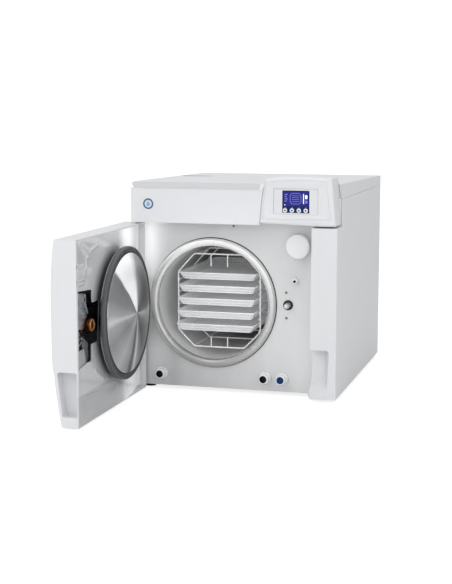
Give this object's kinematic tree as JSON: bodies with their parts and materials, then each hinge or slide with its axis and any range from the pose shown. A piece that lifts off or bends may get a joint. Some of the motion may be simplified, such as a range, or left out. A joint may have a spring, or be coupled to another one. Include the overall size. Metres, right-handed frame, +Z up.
{
  "type": "benchtop autoclave",
  "caption": "Benchtop steam autoclave with a side-hung door standing open, a round chamber holding a wire rack of perforated trays, a front service panel and a display housing.",
  "frame": {"origin": "bottom centre of the whole object's box with the door standing open at 90 degrees; Z = 0 is the bench under the feet", "axes": "+X to the right seen from the front, +Y from the front to the back, +Z up"},
  "size_m": [0.4928, 0.918, 0.476],
  "materials": {
    "black_plastic": "matt",
    "blue_plastic": "satin",
    "board": "solder mask",
    "brass": "machined",
    "chamber_steel": "electropolished inside",
    "copper_alloy": "machined",
    "dome_steel": "turned, radial sheen",
    "front_steel": "brushed, softly clouded",
    "gasket_grey": "matt silicone",
    "grey_plastic": "matt",
    "heater": "mica band in steel",
    "inner_steel": "plain mill finish",
    "insulation": "woven glass cloth",
    "lcd": "backlit display behind glass",
    "liner_plastic": "glossy vacuum-formed sheet",
    "polished_steel": "mirror polished",
    "rubber_black": "matt",
    "tank_plastic": "translucent",
    "tray_steel": "bright perforated sheet",
    "trim_grey": "satin, slightly darker grey",
    "white_housing": "satin, light grey-white moulded and powder-coated",
    "white_plastic": "gloss",
    "wire_steel": "bright electropolished wire",
    "zinc": "folded, zinc plated"
  },
  "bodies": {
    "cabinet": {"base_pan": "zinc", "feet": "rubber_black", "bulkhead": "zinc", "front_plate": "front_steel", "plate_screws": "inner_steel", "side_panel_left": "white_housing", "side_panel_right": "white_housing", "rear_panel": "zinc", "top_cover": "white_housing", "top_trim": "trim_grey", "upper_bezel": "white_housing", "display_pod": "white_housing", "display_window": "white_housing", "lcd_screen": "lcd", "pillar": "white_housing", "chamber_vessel": "chamber_steel", "chamber_ring": "polished_steel", "insulation_jacket": "insulation", "band_heater": "heater", "vacuum_pump": "grey_plastic", "condenser": "copper_alloy", "fan_shroud": "black_plastic", "clean_water_tank": "tank_plastic", "waste_water_tank": "tank_plastic", "control_board": "board", "power_supply": "zinc", "solenoid_valves": "brass", "pipework": "brass", "safety_valve": "brass", "power_inlet": "black_plastic", "lock_actuator": "black_plastic", "door_sensor": "white_plastic", "filter_holder": "grey_plastic", "quick_couplings": "white_plastic", "hinge_bracket": "inner_steel"},
    "door": {"door_shell": "white_housing", "door_liner": "liner_plastic", "door_crossbar": "black_plastic", "lock_nut": "copper_alloy", "door_disc": "dome_steel", "door_gasket": "gasket_grey"},
    "rack": {"rack": "wire_steel"},
    "tray_1": {"tray_1": "tray_steel"},
    "tray_2": {"tray_2": "tray_steel"},
    "tray_3": {"tray_3": "tray_steel"},
    "tray_4": {"tray_4": "tray_steel"},
    "tray_5": {"tray_5": "tray_steel"},
    "lock_spindle": {"lock_spindle": "polished_steel"},
    "sensor_plunger": {"sensor_plunger": "black_plastic"},
    "button_1": {"button_1": "white_plastic"},
    "button_2": {"button_2": "white_plastic"},
    "button_3": {"button_3": "white_plastic"},
    "button_4": {"button_4": "white_plastic"},
    "filter": {"bacteria_filter": "white_plastic"},
    "poppet_1": {"coupling_poppet_1": "black_plastic"},
    "poppet_2": {"coupling_poppet_2": "black_plastic"},
    "poppet_3": {"coupling_poppet_3": "blue_plastic"},
    "fan": {"condenser_fan": "black_plastic"},
    "filler_cap": {"filler_cap": "grey_plastic"},
    "power_switch": {"power_switch": "black_plastic"}
  },
  "joints": [
    {"name": "door_swing", "type": "hinge", "parent": "cabinet", "child": "door", "pos_m": [-0.1846, -0.085, 0.1977], "axis": [0, 0, -1], "range_deg": [-90, 10]},
    {"name": "rack_slide", "type": "slide", "parent": "cabinet", "child": "rack", "axis": [0, -1, 0], "range_m": [0, 0.25]},
    {"name": "tray_1_slide", "type": "slide", "parent": "rack", "child": "tray_1", "axis": [0, -1, 0], "range_m": [0, 0.2]},
    {"name": "tray_2_slide", "type": "slide", "parent": "rack", "child": "tray_2", "axis": [0, -1, 0], "range_m": [0, 0.2]},
    {"name": "tray_3_slide", "type": "slide", "parent": "rack", "child": "tray_3", "axis": [0, -1, 0], "range_m": [0, 0.2]},
    {"name": "tray_4_slide", "type": "slide", "parent": "rack", "child": "tray_4", "axis": [0, -1, 0], "range_m": [0, 0.2]},
    {"name": "tray_5_slide", "type": "slide", "parent": "rack", "child": "tray_5", "axis": [0, -1, 0], "range_m": [0, 0.2]},
    {"name": "lock_extend", "type": "slide", "parent": "cabinet", "child": "lock_spindle", "axis": [0, -1, 0], "range_m": [0, 0.033]},
    {"name": "sensor_press", "type": "slide", "parent": "cabinet", "child": "sensor_plunger", "axis": [0, 1, 0], "range_m": [0, 0.005]},
    {"name": "button_1_press", "type": "slide", "parent": "cabinet", "child": "button_1", "axis": [0, 1, 0], "range_m": [0, 0.0012]},
    {"name": "button_2_press", "type": "slide", "parent": "cabinet", "child": "button_2", "axis": [0, 1, 0], "range_m": [0, 0.0012]},
    {"name": "button_3_press", "type": "slide", "parent": "cabinet", "child": "button_3", "axis": [0, 1, 0], "range_m": [0, 0.0012]},
    {"name": "button_4_press", "type": "slide", "parent": "cabinet", "child": "button_4", "axis": [0, 1, 0], "range_m": [0, 0.0012]},
    {"name": "filter_turn", "type": "hinge", "parent": "cabinet", "child": "filter", "pos_m": [0.1554, -0.057, 0.327], "axis": [0, -1, 0], "range_deg": [0, 90]},
    {"name": "poppet_1_open", "type": "slide", "parent": "cabinet", "child": "poppet_1", "axis": [0, 1, 0], "range_m": [0, 0.006]},
    {"name": "poppet_2_open", "type": "slide", "parent": "cabinet", "child": "poppet_2", "axis": [0, 1, 0], "range_m": [0, 0.006]},
    {"name": "poppet_3_open", "type": "slide", "parent": "cabinet", "child": "poppet_3", "axis": [0, 1, 0], "range_m": [0, 0.006]},
    {"name": "fan_spin", "type": "hinge", "parent": "cabinet", "child": "fan", "pos_m": [-0.1006, 0.413, 0.25], "axis": [0, 1, 0], "continuous": true},
    {"name": "filler_cap_turn", "type": "hinge", "parent": "cabinet", "child": "filler_cap", "pos_m": [-0.1626, 0.248, 0.438], "axis": [0, 0, 1], "range_deg": [0, 90]},
    {"name": "power_switch_rock", "type": "hinge", "parent": "cabinet", "child": "power_switch", "pos_m": [0.2029, 0.4405, 0.0505], "axis": [1, 0, 0], "range_deg": [0, 14]}
  ]
}
